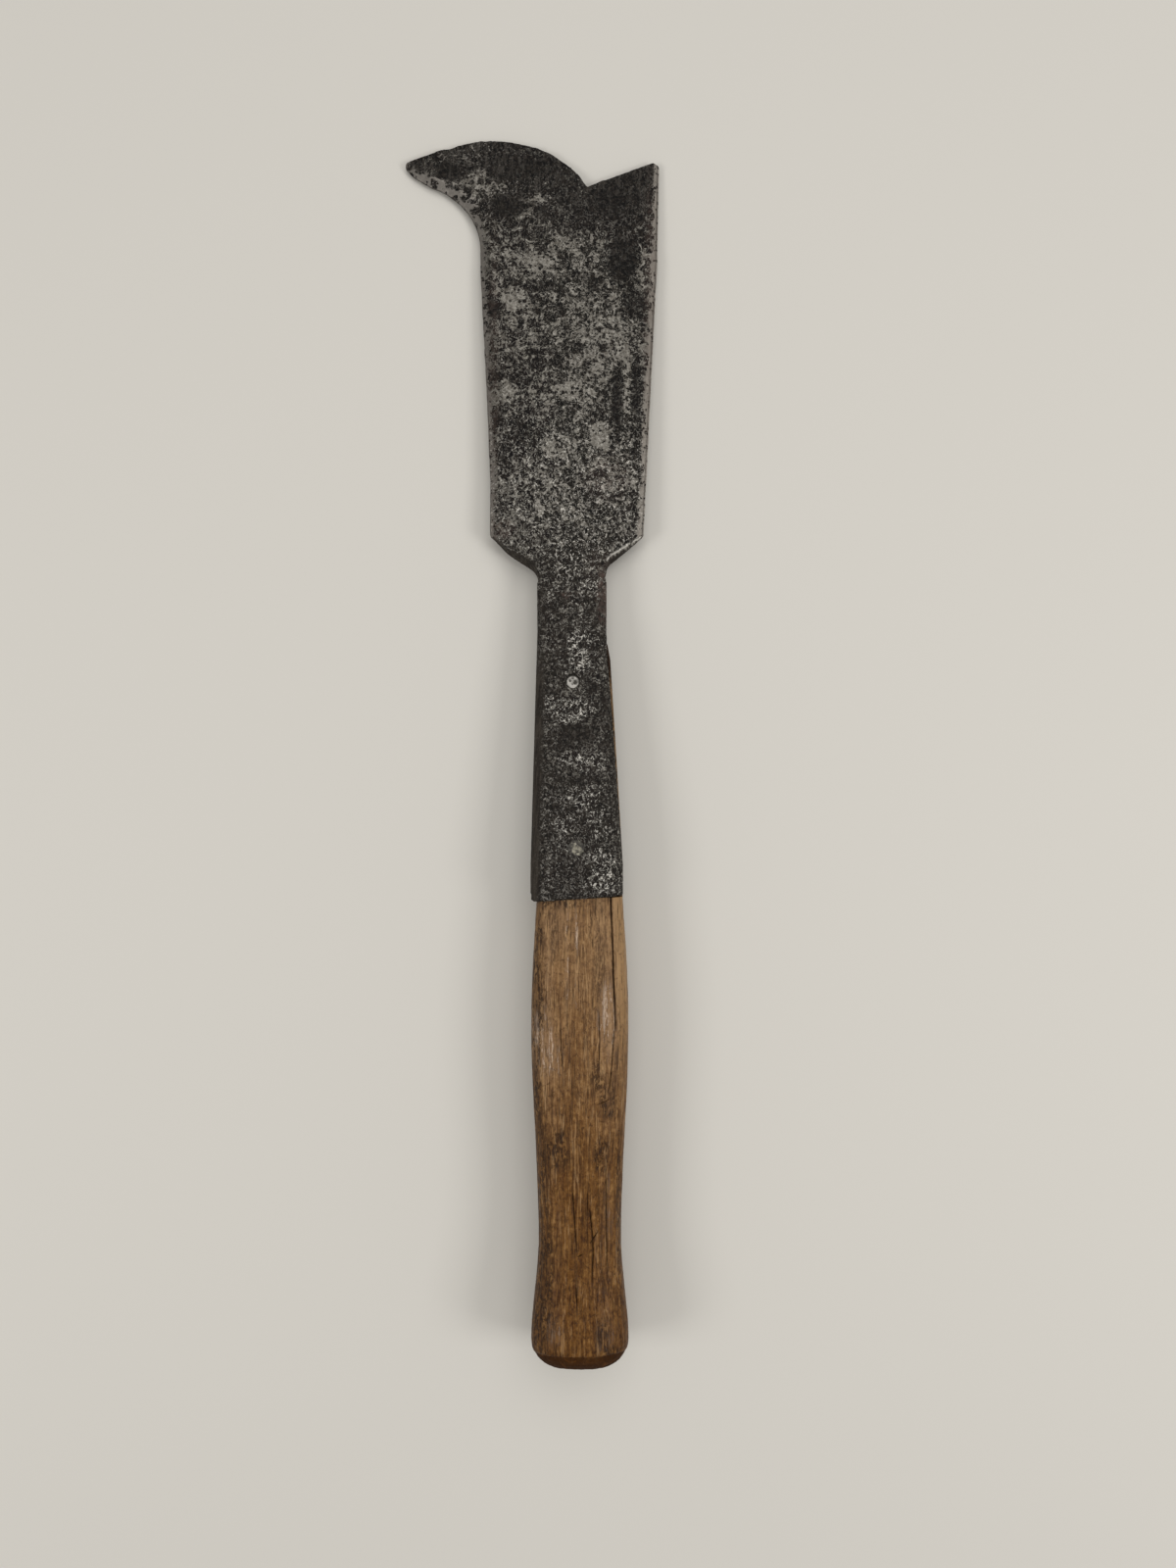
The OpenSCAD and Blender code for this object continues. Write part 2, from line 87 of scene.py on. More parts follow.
# red rust: the same five numbers
RUST_PATCHES = (
    (31.0, 60.0, 2.6, 11, 0.9), (-12.5, 90.7, 5, 4, 0.6), (33, 112.7, 9, 9, 0.35), (15.0, 61.2, 1.6, 1.4, 1.0),
    (-17, 150.7, 2.5, 60, 0.35), (52, 170.7, 3, 70, 0.45), (30, 74.7, 5, 6, 0.3),
)
# where bare steel shows through the scale of the neck and the socket, painted far brighter than the other bare steel
# as glints
SPARKLE_PATCHES = (
    (20, 39.7, 4, 6, 0.7), (21.2, 31.5, 4, 3, 0.6), (10.9, 13.5, 5, 4, 0.4), (21.2, 12.7, 7, 4, 0.5),
    (17.9, 7.3, 5, 3, 0.5), (6.8, 17.5, 3, 5, 0.2), (16.2, -7.9, 4, 3, 0.4), (23.2, -9.9, 8, 5, 0.3),
    (14.2, -23.5, 5, 6, 0.2), (22.4, -24.5, 6, 5, 0.4), (15, -36.7, 4, 4, 0.4), (27.4, -31.5, 4, 4, 0.3),
    (27, 64.7, 5, 4, 0.3), (30.7, -52.1, 5, 5, 0.6), (28.6, -60.6, 7, 4, 0.4), (14, 50, 3, 12, -0.3),
    (21.5, 3.6, 6, 3.0, -0.8), (17.0, 0.8, 6, 3.0, -0.8), (12.8, -1.6, 5, 3.0, -0.7), (15, -17.4, 6, 3.5, -0.5),
    (9, 26, 3, 8, -0.3),
)


def copied(node, name):
    bpy.ops.object.select_all(action="DESELECT")
    piece = bpy.data.objects.new(name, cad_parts[node].data.copy())
    bpy.context.scene.collection.objects.link(piece)
    piece.data.materials.clear()
    piece.select_set(True)
    bpy.context.view_layer.objects.active = piece
    bpy.ops.object.mode_set(mode="EDIT")
    bpy.ops.mesh.select_mode(type="FACE")
    bpy.ops.mesh.select_all(action="SELECT")
    bpy.ops.mesh.customdata_custom_splitnormals_clear()
    bpy.ops.mesh.remove_doubles(threshold=WELD)
    bpy.ops.mesh.dissolve_limited(angle_limit=FLAT_ANGLE)
    return piece


def select_faces(piece, wanted):
    work = bmesh.from_edit_mesh(piece.data)
    for face in work.faces:
        face.select_set(wanted(face.calc_center_bounds(), face.normal))
    work.select_flush_mode()
    bmesh.update_edit_mesh(piece.data)


def cut_across(direction, first, last, step):
    place = first + step / 2
    while place < last:
        bpy.ops.mesh.select_all(action="SELECT")
        bpy.ops.mesh.bisect(plane_co=Vector(direction) * place, plane_no=direction)
        place += step


def smooth_step(low, high, value):
    share = min(1, max(0, (value - low) / (high - low)))
    return share * share * (3 - 2 * share)


def read_off(table, value):
    for (low, first), (high, last) in zip(table, table[1:]):
        if value <= high:
            return first + (last - first) * max(0, value - low) / (high - low)
    return table[-1][1]


def patches_at(patches, x, y):
    total = 0
    for middle_x, middle_y, reach_x, reach_y, amount in patches:
        away = ((x - middle_x) / reach_x) ** 2 + ((y - middle_y) / reach_y) ** 2
        if away < 4:
            total += amount * math.exp(-away * away / 1.5)
    return total


def keep_numbers(piece, name, numbers):
    piece.data.attributes.new(name, "FLOAT", "POINT").data.foreach_set("value", numbers)


def press_in(piece, depths, deepest):
    hollows = piece.vertex_groups.new(name="hollows")
    for index, depth in enumerate(depths):
        hollows.add([index], min(1, max(0, depth / deepest)), "REPLACE")
    press = piece.modifiers.new("pits", "DISPLACE")
    press.direction = "NORMAL"
    press.vertex_group = hollows.name
    press.mid_level = 0
    press.strength = -deepest
    bpy.ops.object.modifier_apply(modifier=press.name)
    piece.vertex_groups.clear()


head = copied("forged_head", "pitted_head")
low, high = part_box("forged_head")
side = low.z + SIDE_GRID / 2
while side < high.z:
    select_faces(head, lambda middle, facing: middle.y < NECK_TOP)
    bpy.ops.mesh.bisect(plane_co=(0, 0, side), plane_no=(0, 0, 1))
    side += SIDE_GRID
cut_across((0, 1, 0), low.y, high.y, HEAD_GRID)
cut_across((1, 0, 0), low.x, high.x, HEAD_GRID)
select_faces(head, lambda middle, facing: NECK_TOP < middle.y < NECK_TOP + 0.004 and abs(facing.z) > 0.8)
bpy.ops.mesh.vertices_smooth(factor=0.5, repeat=6)
select_faces(head, lambda middle, facing: NECK_TOP - 0.003 < middle.y < NECK_TOP + 0.003 and abs(facing.x) > 0.6)
bpy.ops.mesh.vertices_smooth(factor=0.5, repeat=8)
for (left, lowest), (right_end, highest), way, follow in DRAWN_OUT:
    select_faces(head, lambda middle, facing: left < middle.x < right_end and lowest < middle.y < highest
                 and facing.x * way[0] + facing.y * way[1] > 0.25 * math.hypot(*way))
    bpy.ops.transform.translate(value=(way[0], way[1], 0), use_proportional_edit=True,
                                proportional_edit_falloff="SMOOTH", proportional_size=follow)
bpy.ops.object.mode_set(mode="OBJECT")

corners = [vertex.co.copy() for vertex in head.data.vertices]
rim_faces = [face for face in head.data.polygons if face.center.y > NECK_TOP + 0.003 and abs(face.normal.z) < 0.35]


def nearest_of(faces):
    return BVHTree.FromPolygons(corners, [tuple(face.vertices) for face in faces])


rim_tree = nearest_of(rim_faces)
long_tree = nearest_of(face for face in rim_faces if face.center.y > SHOULDERS_Y + 0.001 and face.normal.y < 0.3)
shoulder_tree = nearest_of(face for face in rim_faces if face.center.y < SHOULDERS_Y and face.normal.y < -0.4)


def millimetres_to(tree, place):
    reach = tree.find_nearest(place, RIM_FAR / 1000)[3]
    return RIM_FAR if reach is None else reach * 1000


DEEPEST_PIT = 0.0008
numbers = {name: [] for name in ("scale_left", "ground", "rim_reach", "rusty", "smooth_shaded_side", "sparkle", "arris_glint")}
depths = []
for vertex, facing in zip(head.data.vertices, head.data.vertex_normals):
    place, out = vertex.co, facing.vector
    x, y = place.x * 1000, place.y * 1000
    on_socket = place.y < NECK_TOP
    reach = RIM_FAR if on_socket else millimetres_to(rim_tree, place)
    strip_reach = RIM_FAR if place.y < SHOULDERS_Y - 0.006 else millimetres_to(long_tree, place)
    under_beak = smooth_step(218, 237, y) * smooth_step(-12, -22, x) * smooth_step(-55, -40, x)
    strip_width = (2.9 if x > 20 else 2.1) + 3.4 * under_beak
    ragged_reach = strip_reach + 1.1 * noise.noise(place * 260)
    bare_strip = 1 - smooth_step(strip_width - 1.1, strip_width + 0.8, ragged_reach)
    broad = noise.fractal(place * 38, 0.8, 2.0, 3)
    cover = read_off(SCALE_ALONG, y) + patches_at(SCALE_PATCHES, x, y) + 0.11 * broad
    # painted shade: the socket's left side, a strip up its right side at half strength, and the shoulders' undersides
    # are coloured dark here, besides being left smoother and less pitted
    smooth_shaded_side = 0
    if on_socket:
        left_side = 3.6 + (y + 67.3) * 0.021
        ragged_x = x + 0.8 * noise.noise(place * 210)
        smooth_shaded_side = max(smooth_step(0.45, 0.85, -out.x), smooth_step(left_side + 1.5, left_side - 1.3, ragged_x))
        right_edge = x + 0.2 * (y - 66) + noise.noise(place * 150)
        right_side = smooth_step(27.4, 29.0, right_edge) * smooth_step(44, 50, y)
        smooth_shaded_side = max(smooth_shaded_side * (1 - 0.7 * smooth_step(20, 44, y)), 0.45 * right_side)
    elif out.y < -0.3 and place.y < SHOULDERS_Y:
        smooth_shaded_side = 1
    cover = min(1.3, max(0, cover * (1 - 0.60 * bare_strip)))
    spots = noise.fractal(place * 330 + Vector((7, 3, 1)), 0.75, 2.1, 4)
    pit = smooth_step(0.30, 0.62, spots * 0.55 + cover * 0.62)
    pit *= smooth_step(97, 151, y) * 0.55 + 0.45
    depth = 0.035 * (0.5 + 0.5 * noise.noise(place * 55)) + 0.19 * pit * (1 - 0.7 * smooth_shaded_side)
    on_rim = 1 - smooth_step(0.05, 0.6, reach)
    depth += on_rim * (0.10 + 0.16 * noise.noise(place * 160) + 0.10 * noise.noise(place * 420))
    if y < -66.1:
        depth += 0.22 + 0.36 * noise.noise(place * 150) + 0.26 * noise.noise(place * 420)
    wood_line = Vector((0.0212, place.y, 0.0155 - 0.0424 * (place.y + 0.0678)))
    inside = on_socket and (place - wood_line).dot(out) < 0
    depths.append(0 if inside else max(0, depth) / 1000)
    # painted highlight: a bright line along the right shoulder's arris
    on_arris = out.z > 0.3 and x > 33 and NECK_TOP < place.y < SHOULDERS_Y + 0.002
    numbers["arris_glint"].append(0.85 - 0.85 * smooth_step(0.1, 0.9, millimetres_to(shoulder_tree, place)) if on_arris else 0)
    numbers["scale_left"].append(cover)
    numbers["ground"].append(bare_strip)
    numbers["rim_reach"].append(strip_reach)
    numbers["rusty"].append(min(1, max(0, patches_at(RUST_PATCHES, x, y))))
    numbers["smooth_shaded_side"].append(smooth_shaded_side)
    sparkle = 0.42 + patches_at(SPARKLE_PATCHES, x, y) + 0.3 * broad
    numbers["sparkle"].append(min(1, max(0, sparkle if y < 78 else 0.52 - 0.20 * smooth_step(110, 165, y))))
for name, values in numbers.items():
    keep_numbers(head, name, values)
press_in(head, depths, DEEPEST_PIT)
bpy.ops.object.shade_smooth_by_angle(angle=math.radians(42))

BRIGHT_STEEL = (0.250, 0.235, 0.207, 1)
WORN_STEEL = (0.150, 0.139, 0.120, 1)
DULL_STEEL = (0.066, 0.059, 0.049, 1)
BROWN_SCALE = (0.0160, 0.0125, 0.0098, 1)
BLACK_SCALE = (0.0032, 0.0029, 0.0028, 1)
SMOOTH_SCALE = (0.056, 0.046, 0.036, 1)
SOCKET_BROWN = (0.044, 0.036, 0.027, 1)
COMBED_BROWN = (0.066, 0.058, 0.050, 1)
STRIP_STEEL = (0.185, 0.168, 0.150, 1)
LIT_RIGHT_STRIP = (0.262, 0.236, 0.205, 1)
GLINT_STEEL = (0.62, 0.59, 0.53, 1)
RED_RUST = (0.105, 0.070, 0.057, 1)


class Surface:
    """The nodes of one material, joined as they are added."""

    def __init__(self, name):
        self.material = bpy.data.materials.new(name)
        self.material.use_nodes = True
        self.tree = self.material.node_tree
        self.shader = self.tree.nodes["Principled BSDF"]
        self.place = self.add("ShaderNodeTexCoord").outputs["Object"]

    def add(self, kind, **settings):
        node = self.tree.nodes.new(kind)
        for name, value in settings.items():
            setattr(node, name, value)
        return node

    def feed(self, socket, value):
        if isinstance(value, bpy.types.NodeSocket):
            self.tree.links.new(value, socket)
        else:
            socket.default_value = value

    def attribute(self, name):
        return self.add("ShaderNodeAttribute", attribute_name=name).outputs["Fac"]

    def math(self, operation, first, second=0.0, third=0.0, clamp=False):
        node = self.add("ShaderNodeMath", operation=operation, use_clamp=clamp)
        for socket, value in zip(node.inputs, (first, second, third)):
            self.feed(socket, value)
        return node.outputs[0]

    def times(self, *values):
        product = values[0]
        for value in values[1:]:
            product = self.math("MULTIPLY", product, value)
        return product

    def most(self, *values):
        largest = values[0]
        for value in values[1:]:
            largest = self.math("MAXIMUM", largest, value)
        return largest

    def stretched(self, scale, vector=None):
        node = self.add("ShaderNodeVectorMath", operation="MULTIPLY")
        self.feed(node.inputs[0], vector or self.place)
        node.inputs[1].default_value = scale
        return node.outputs[0]

    def noise(self, scale, detail=4.0, roughness=0.6, distortion=0.0, vector=None):
        node = self.add("ShaderNodeTexNoise")
        self.feed(node.inputs["Vector"], vector or self.place)
        node.inputs["Scale"].default_value = scale
        node.inputs["Detail"].default_value = detail
        node.inputs["Roughness"].default_value = roughness
        node.inputs["Distortion"].default_value = distortion
        return node.outputs["Fac"]

    def lines(self, width, *settings, **more):
        """Thin winding lines, where a noise passes through its middle value."""
        away = self.math("ABSOLUTE", self.math("SUBTRACT", self.noise(*settings, **more), 0.5))
        return self.between(away, width * 0.4, width, 1, 0)

    def cells(self, scale, vector, feature="F1"):
        node = self.add("ShaderNodeTexVoronoi", feature=feature)
        self.feed(node.inputs["Vector"], vector)
        node.inputs["Scale"].default_value = scale
        chance = self.add("ShaderNodeSeparateColor")
        if feature == "F1":
            self.feed(chance.inputs[0], node.outputs["Color"])
        return node.outputs["Distance"], chance.outputs[0], chance.outputs[1]

    def ramp(self, value, *stops):
        node = self.add("ShaderNodeValToRGB")
        self.feed(node.inputs["Fac"], value)
        stones = node.color_ramp.elements
        while len(stones) < len(stops):
            stones.new(0.5)
        for stone, (position, colour) in zip(stones, stops):
            stone.position = position
            stone.color = colour
        return node.outputs["Color"]

    def between(self, value, low, high, first=0.0, last=1.0):
        node = self.add("ShaderNodeMapRange")
        for name, number in (("Value", value), ("From Min", low), ("From Max", high), ("To Min", first),
                             ("To Max", last)):
            self.feed(node.inputs[name], number)
        return node.outputs["Result"]

    def mixed(self, share, first, second):
        node = self.add("ShaderNodeMix", data_type="RGBA")
        self.feed(node.inputs[0], share)
        self.feed(node.inputs[6], first)
        self.feed(node.inputs[7], second)
        return node.outputs[2]

    def bump(self, height, distance, strength=1.0):
        node = self.add("ShaderNodeBump")
        node.inputs["Strength"].default_value = strength
        node.inputs["Distance"].default_value = distance
        self.feed(node.inputs["Height"], height)
        self.feed(self.shader.inputs["Normal"], node.outputs["Normal"])


steel = Surface("pitted_steel")
cover = steel.attribute("scale_left")
strip = steel.attribute("ground")
reach = steel.attribute("rim_reach")
smooth_shaded_side = steel.attribute("smooth_shaded_side")
sparkle = steel.attribute("sparkle")
height_up = steel.add("ShaderNodeSeparateXYZ")
steel.feed(height_up.inputs[0], steel.place)
upper = steel.between(height_up.outputs[1], 0.0957, 0.1707)
top = steel.between(height_up.outputs[1], 0.226, 0.244)
right = steel.between(height_up.outputs[0], 0.030, 0.036)
below = steel.between(height_up.outputs[1], 0.100, 0.072)

wobble = steel.add("ShaderNodeTexNoise")
steel.feed(wobble.inputs["Vector"], steel.place)
wobble.inputs["Scale"].default_value = 900
wobble.inputs["Detail"].default_value = 2


def wobbled(amount):
    moved = steel.add("ShaderNodeVectorMath", operation="MULTIPLY_ADD")
    steel.feed(moved.inputs[0], wobble.outputs["Color"])
    moved.inputs[1].default_value = (amount, amount, amount)
    steel.feed(moved.inputs[2], steel.place)
    return moved.outputs[0]


def pits(scale, share, share_slope, smallest, spread, blur, wobble_by=0.0012):
    distance, size, chance = steel.cells(scale, wobbled(wobble_by))
    there = steel.math("LESS_THAN", chance, steel.math("MULTIPLY_ADD", cover, share_slope, share))
    wide = steel.math("MULTIPLY_ADD", size, spread, smallest)
    return steel.times(steel.between(steel.math("SUBTRACT", distance, wide), -blur, blur, 1, 0), there)


large_pit = steel.times(pits(290, -0.04, 0.90, 0.24, 0.28, 0.035, 0.0020), steel.between(upper, 0, 0.6))
broad_pit = steel.times(pits(140, -0.36, 1.0, 0.20, 0.24, 0.035, 0.0040), steel.between(upper, -0.3, 0.3))
middle_pit = pits(470, -0.03, 0.90, 0.26, 0.22, 0.06, 0.0018)
small_pit = pits(820, 0.02, 0.94, 0.34, 0.20, 0.08, 0.0013)
blotch_noise = steel.math("MULTIPLY_ADD", cover, 0.44, steel.noise(240, 3, 0.85, 1.0))
blotch = steel.between(steel.math("MULTIPLY_ADD", upper, -0.050, blotch_noise), 0.712, 0.756)
dark = steel.most(broad_pit, large_pit, small_pit, middle_pit, blotch)

worms = steel.times(steel.lines(0.050, 430, 1.5, 0.55, 0.8), steel.between(steel.noise(350, 3, 0.8), 0.44, 0.53))
streaks = steel.noise(1, 2, 0.8, 0.2, steel.stretched((1050, 400, 1050)))
streaks = steel.times(steel.between(streaks, 0.58, 0.64), steel.between(top, 0, 1, 0.45, 0.55))
specks = steel.between(steel.noise(980, 1.5, 0.8), 0.62, 0.67)
fleck = steel.most(steel.times(worms, steel.between(top, 0, 1, 1, 0.35)), streaks, specks)
fleck = steel.times(fleck, steel.between(cover, 0.75, 1.15, 1.0, 0.2), steel.between(smooth_shaded_side, 0, 1, 1.0, 0.25))
dark = steel.math("SUBTRACT", dark, steel.times(fleck, 0.95), clamp=True)
# painted highlight: specks of bare steel painted much brighter than the rest, as glints
spark_noise = steel.noise(760, 2, 0.8, 0.6)
glint_specks = steel.between(steel.math("MULTIPLY_ADD", sparkle, 0.12, spark_noise), 0.575, 0.610)
glint_specks = steel.times(glint_specks, fleck, steel.between(sparkle, 0.30, 0.65))

tone = steel.noise(600, 3, 0.85, 0.8)
veins = steel.times(steel.lines(0.055, 520, 2, 0.7, 1.2), steel.between(steel.noise(310, 2, 0.7), 0.44, 0.58), 0.6)
metal = steel.ramp(tone, (0.39, DULL_STEEL), (0.51, WORN_STEEL), (0.66, BRIGHT_STEEL))
metal = steel.mixed(veins, metal, DULL_STEEL)
scale_noise = steel.math("MULTIPLY_ADD", below, 0.035, steel.noise(620, 3, 0.85, 0.8))
scale = steel.ramp(scale_noise, (0.45, BLACK_SCALE), (0.60, BROWN_SCALE), (0.78, DULL_STEEL))
scale = steel.mixed(steel.times(below, 0.08), scale, SOCKET_BROWN)
combed = steel.between(steel.noise(1, 3, 0.75, 0.4, steel.stretched((520, 150, 520))), 0.50, 0.68)
scale = steel.mixed(steel.times(combed, top, 0.50), scale, COMBED_BROWN)
# painted light: the ground strip along the right edge is painted lighter than the left one, as the side the light
# falls on
strip_colour = steel.mixed(right, STRIP_STEEL, LIT_RIGHT_STRIP)
metal = steel.mixed(steel.times(strip, steel.between(right, 0, 1, 0.75, 0.88)), metal, strip_colour)
colour = steel.mixed(dark, metal, scale)
colour = steel.mixed(steel.times(glint_specks, 0.9), colour, GLINT_STEEL)
# painted shade: the socket's left side and the shoulders' undersides take a dark brown scale with run-down streaks
run_down = steel.between(steel.noise(1, 3, 0.7, 0, steel.stretched((700, 60, 700))), 0.40, 0.65)
shaded_side_colour = steel.mixed(run_down, BROWN_SCALE, SMOOTH_SCALE)
colour = steel.mixed(steel.times(smooth_shaded_side, 0.72), colour, shaded_side_colour)
rust = steel.times(steel.attribute("rusty"), steel.between(steel.noise(420, 4, 0.65), 0.38, 0.60))
colour = steel.mixed(steel.times(rust, 0.6), colour, RED_RUST)
# painted shade: a dark rim in brown scale's colour along the outermost edge of the blade's long edges, except the
# right one; along the right edge a dark line runs 0.8 mm in
line = steel.between(steel.math("ABSOLUTE", steel.math("SUBTRACT", reach, 0.8)), 0.06, 0.34, 0.6, 0.0)
outline = steel.times(steel.between(reach, 0.05, 0.40, 0.6, 0.0), steel.math("SUBTRACT", 1.0, right))
colour = steel.mixed(steel.math("MULTIPLY_ADD", line, right, outline), colour, BROWN_SCALE)
# painted highlight: the right shoulder's arris is painted as a bright glint
arris_glint = steel.times(steel.attribute("arris_glint"), steel.between(steel.noise(300, 3, 0.7), 0.38, 0.52))
colour = steel.mixed(arris_glint, colour, GLINT_STEEL)
dull = steel.most(dark, smooth_shaded_side)
steel.feed(steel.shader.inputs["Base Color"], colour)
steel.feed(steel.shader.inputs["Roughness"], steel.between(dull, 0, 1, 0.44, 0.70))
steel.feed(steel.shader.inputs["Metallic"], steel.between(dull, 0, 0.8, 0.85, 0.0))
steel.shader.inputs["Specular IOR Level"].default_value = 0.1
steel.bump(steel.math("MULTIPLY_ADD", dark, -1.0, steel.times(tone, 0.45)), 0.00022, 0.8)

head.data.materials.append(steel.material)
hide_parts("forged_head")
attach(head, "root")


# The rivets: two soft steel pins through the socket and the wood, their ends filed flush. One is still bright with a
# dark ring round it, and the other has worn into a ragged yellowish patch.

RIVET_GRID = 0.00035
FILED_BRIGHT = (0.27, 0.256, 0.233, 1)
FILED_YELLOW = (0.235, 0.217, 0.170, 1)
FILED_DARK = (0.060, 0.055, 0.045, 1)
DEEPEST_DENT = 0.0008

for node, name, radius, groove, dents, wear, face_colour in (
    ("neck_rivet", "filed_neck_rivet", 3.15, 0.35,
     ((-1.15, 0.6, 0.6, 0.45), (-0.1, 1.7, 0.55, 0.4), (0.95, -0.1, 1.0, 0.6), (-0.3, -0.8, 0.45, 0.4)), 0.15,
     FILED_BRIGHT),
    ("mouth_rivet", "worn_mouth_rivet", 3.6, 0.0,
     ((0.7, -0.9, 0.6, 0.45), (2.2, -1.6, 1.1, 0.2), (-1.5, -2.4, 0.9, 0.2)), 0.85,
     FILED_YELLOW),
):
    rivet = copied(node, name)
    low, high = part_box(node)
    cut_across((1, 0, 0), low.x, high.x, RIVET_GRID)
    cut_across((0, 1, 0), low.y, high.y, RIVET_GRID)
    bpy.ops.object.mode_set(mode="OBJECT")
    middle = (low + high) / 2
    depths, worn = [], []
    for vertex in rivet.data.vertices:
        across, along = (vertex.co.x - middle.x) * 1000, (vertex.co.y - middle.y) * 1000
        from_middle = math.hypot(across, along)
        depth = 0.05 + 0.12 * wear * (1 + noise.noise(vertex.co * 700))
        for dent_x, dent_y, dent_r, dent_depth in dents:
            away = math.hypot(across - dent_x, along - dent_y) / dent_r
            depth += dent_depth * max(0, 1 - away * away)
        depth += groove * smooth_step(radius - 0.45, radius - 0.1, from_middle)
        depths.append(depth / 1000)
        worn_off = wear * smooth_step(radius - 1.3, radius - 0.3, from_middle + 1.9 * noise.noise(vertex.co * 360))
        ring = (1 - wear) * smooth_step(radius - 0.75, radius - 0.45, from_middle)
        worn.append(min(1, 0.08 + wear * 0.08 + depth * 1.6 + worn_off + ring))
    keep_numbers(rivet, "scale_left", worn)
    press_in(rivet, depths, DEEPEST_DENT)
    bpy.ops.object.shade_smooth_by_angle(angle=math.radians(42))
    filed = Surface(name + "_steel")
    grade = filed.math("MULTIPLY_ADD", filed.attribute("scale_left"), 0.6, -0.05)
    grade = filed.math("ADD", grade, filed.between(filed.noise(700, 3, 0.8), 0.25, 0.75, -0.18 - 0.35 * wear, 0.18 + 0.35 * wear))
    colour = filed.ramp(grade, (0.10, face_colour), (0.40, FILED_DARK), (0.75, BROWN_SCALE))
    filed.feed(filed.shader.inputs["Base Color"], colour)
    filed.feed(filed.shader.inputs["Roughness"], filed.between(grade, 0.1, 0.6, 0.35, 0.65))
    filed.feed(filed.shader.inputs["Metallic"], filed.between(grade, 0.1, 0.6, 0.85, 0.3))
    filed.bump(grade, 0.00015, -0.6)
    rivet.data.materials.append(filed.material)
    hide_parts(node)
    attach(rivet, "root")


# The handle: one piece of straight-grained ash, shaved with a knife into flats and an oval, with a swollen butt.
# Its grain is open and rough where the varnish has gone, and it is cracked along one flat where it enters the socket.

WOOD_GRID = 0.0007
WOOD_HIDDEN_GRID = 0.004
WOOD_TURNS = 96
MOUTH_Y = -0.0673
BUTT_MIDDLE = Vector((0.02105, -0.262664, 0.023767))
HANDLE_TILT = math.radians(2.42634)
HANDLE_WAY = Vector((0, math.cos(HANDLE_TILT), -math.sin(HANDLE_TILT)))
HANDLE_SIDE = Vector((1, 0, 0))
HANDLE_UP = HANDLE_SIDE.cross(HANDLE_WAY)
DEEPEST_GRAIN = 0.0015
BUTT_BAND = 6.2
BUTT_BAND_SLOPE = 0.18

# each crack: half its width, its depth, and the places it runs through, in millimetres
CRACKS = (
    (0.37, 1.3, ((33.7, -61.3), (34.0, -67.9), (35.0, -92.1), (35.8, -116.8), (36.1, -121))),
    (0.34, 0.50, ((35.8, -118.5), (34.9, -129.7), (34.1, -139.7), (33.5, -146))),
    (0.36, 0.55, ((18.0, -185.3), (18.6, -195.3), (20.1, -213.5))),
    (0.36, 0.55, ((19.5, -222.3), (20.2, -237.3))),
    (0.36, 0.55, ((25.0, -193.3), (26.4, -205.3), (26.7, -212.3), (26.1, -226.3))),
    (0.34, 0.50, ((32.0, -179.3), (32.1, -193.3), (32.6, -225.3))),
    (0.38, 0.60, ((25.7, -207.9), (28.9, -203.4))),
    (0.42, 0.55, ((20.5, -213.7), (22.7, -212.5))),
    (0.28, 0.45, ((13.0, -117.3), (13.3, -127.3), (14.2, -140.3))),
    (0.30, 0.45, ((29.0, -111.3), (29.3, -125.3), (29.0, -137.3))),
    (0.30, 0.45, ((24.2, -187), (24.6, -199))),
    (0.30, 0.50, ((27.5, -152), (33.5, -149.8))),
)
# darkened places: centre, reach across, reach along, amount; the two long faint strips at x 39.5 and 2.5 are painted
# shade along the handle's edges, the rest are stains
STAINS_AND_EDGE_SHADE = (
    (33, -150.3, 3.2, 7, 0.8), (30, -172.8, 3, 7, 0.8), (7.5, -221.3, 2.2, 14, 0.6), (30.5, -244.3, 3, 6, 0.6),
    (14, -164.3, 3, 2.5, 0.5), (11.5, -172.3, 5, 7, 0.6), (37.3, -198, 0.9, 22, 1.0), (4, -111.3, 2.4, 14, 0.5), (7.5, -239.3, 3, 8, 0.6),
    (9, -256.8, 5, 3.5, 0.9), (24, -258.8, 12, 1.6, 0.8), (34, -254.3, 3.5, 5, 0.6), (10, -81.3, 2, 9, 0.4), (4.8, -80, 1.2, 9, 0.5),
    (29.5, -97.3, 3, 14, 0.35), (12, -69.3, 12, 2.2, 0.6), (39.5, -199.3, 2.5, 60, 0.18), (2.5, -169.3, 2, 50, 0.15),
    (28, -140, 3, 8, 0.5), (24, -123, 2, 9, 0.3),
)
# painted sheen, pale patches standing in for the varnish's highlights: the same five numbers
PAINTED_SHEEN = (
    (5.4, -126.5, 4.2, 13, 0.75), (11, -133, 3.0, 8, 0.50), (32.2, -118.5, 3.2, 14, 0.95),
    (15.7, -98, 0.55, 24, 0.7), (19.8, -92, 0.5, 20, 0.6), (10.5, -243, 4, 6, 0.26), (31.5, -246, 4, 7, 0.26), (33, -195, 2.5, 16, 0.2), (21, -62, 10, 40, 0.12),
)

